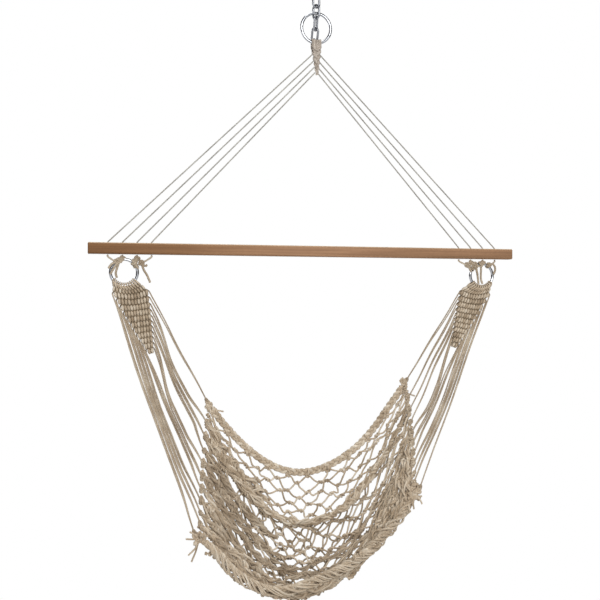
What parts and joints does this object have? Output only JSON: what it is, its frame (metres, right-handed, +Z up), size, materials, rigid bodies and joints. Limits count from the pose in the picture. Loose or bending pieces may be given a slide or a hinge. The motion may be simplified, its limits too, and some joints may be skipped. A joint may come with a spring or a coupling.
{
  "type": "hammock chair",
  "caption": "Hanging hammock chair: chain links and a ring over a wooden spreader bar, with woven clew bands, fans of cord and a knotted net seat with rope edges.",
  "frame": {"origin": "the point inside the top link where the hook that holds the chair bears", "axes": "+Z up, +X along the spreader bar towards its right end as seen from the front, -Y towards the front, the way the sitter faces"},
  "size_m": [0.9, 0.1578, 1.2283],
  "materials": {
    "zinc_links": "zinc-plated welded chain, softly reflecting",
    "bright_rings": "bright plated round rings",
    "oiled_wood": "reddish-brown hardwood, oiled, with eased edges",
    "cotton_rope": "undyed beige twisted cotton-blend rope, matt"
  },
  "bodies": {
    "hanger": {"hanging_link": "zinc_links"},
    "chain": {"ring_link": "zinc_links", "tail_link_1": "zinc_links"},
    "second_tail": {"tail_link_2": "zinc_links"},
    "third_tail": {"tail_link_3": "zinc_links"},
    "rigging": {"top_ring": "bright_rings", "top_braid": "cotton_rope", "spreader_bar": "oiled_wood", "suspension_cord_left_1": "cotton_rope", "suspension_cord_left_2": "cotton_rope", "suspension_cord_left_3": "cotton_rope", "suspension_cord_left_4": "cotton_rope", "suspension_cord_right_1": "cotton_rope", "suspension_cord_right_2": "cotton_rope", "suspension_cord_right_3": "cotton_rope", "suspension_cord_right_4": "cotton_rope"},
    "seat": {"left_ring": "bright_rings", "right_ring": "bright_rings", "ring_tie_left_1": "cotton_rope", "ring_tie_left_2": "cotton_rope", "ring_tie_left_3": "cotton_rope", "ring_tie_left_4": "cotton_rope", "ring_tie_right_1": "cotton_rope", "ring_tie_right_2": "cotton_rope", "ring_tie_right_3": "cotton_rope", "ring_tie_right_4": "cotton_rope", "clew_band_left": "cotton_rope", "clew_band_right": "cotton_rope", "clew_cords_left_01": "cotton_rope", "clew_cords_left_02": "cotton_rope", "clew_cords_left_03": "cotton_rope", "clew_cords_left_04": "cotton_rope", "clew_cords_left_05": "cotton_rope", "clew_cords_left_06": "cotton_rope", "clew_cords_left_07": "cotton_rope", "clew_cords_left_08": "cotton_rope", "clew_cords_left_09": "cotton_rope", "clew_cords_left_10": "cotton_rope", "clew_cords_left_11": "cotton_rope", "clew_cords_right_01": "cotton_rope", "clew_cords_right_02": "cotton_rope", "clew_cords_right_03": "cotton_rope", "clew_cords_right_04": "cotton_rope", "clew_cords_right_05": "cotton_rope", "clew_cords_right_06": "cotton_rope", "clew_cords_right_07": "cotton_rope", "clew_cords_right_08": "cotton_rope", "clew_cords_right_09": "cotton_rope", "clew_cords_right_10": "cotton_rope", "clew_cords_right_11": "cotton_rope", "seat_net": "cotton_rope", "back_edge_rope": "cotton_rope", "front_edge_rope": "cotton_rope"}
  },
  "joints": [
    {"name": "chair_swing", "type": "hinge", "parent": "hanger", "child": "chain", "pos_m": [0, 0, -0.02625], "axis": [1, 0, 0], "range_deg": [-30, 30]},
    {"name": "side_swing", "type": "hinge", "parent": "chain", "child": "rigging", "pos_m": [0, 0, -0.04415], "axis": [0, 1, 0], "range_deg": [-15, 15]},
    {"name": "second_tail_swing", "type": "hinge", "parent": "chain", "child": "second_tail", "pos_m": [0, 0.00641, -0.07192], "axis": [0.5736, 0.7982, 0.1843], "range_deg": [0, 30]},
    {"name": "third_tail_swing", "type": "hinge", "parent": "second_tail", "child": "third_tail", "pos_m": [0, 0.01658, -0.09277], "axis": [1, 0, 0], "range_deg": [0, 30]},
    {"name": "seat_swing", "type": "hinge", "parent": "rigging", "child": "seat", "pos_m": [-0.009, 0, -0.5439], "axis": [1, 0, 0], "range_deg": [-40, 40]}
  ]
}
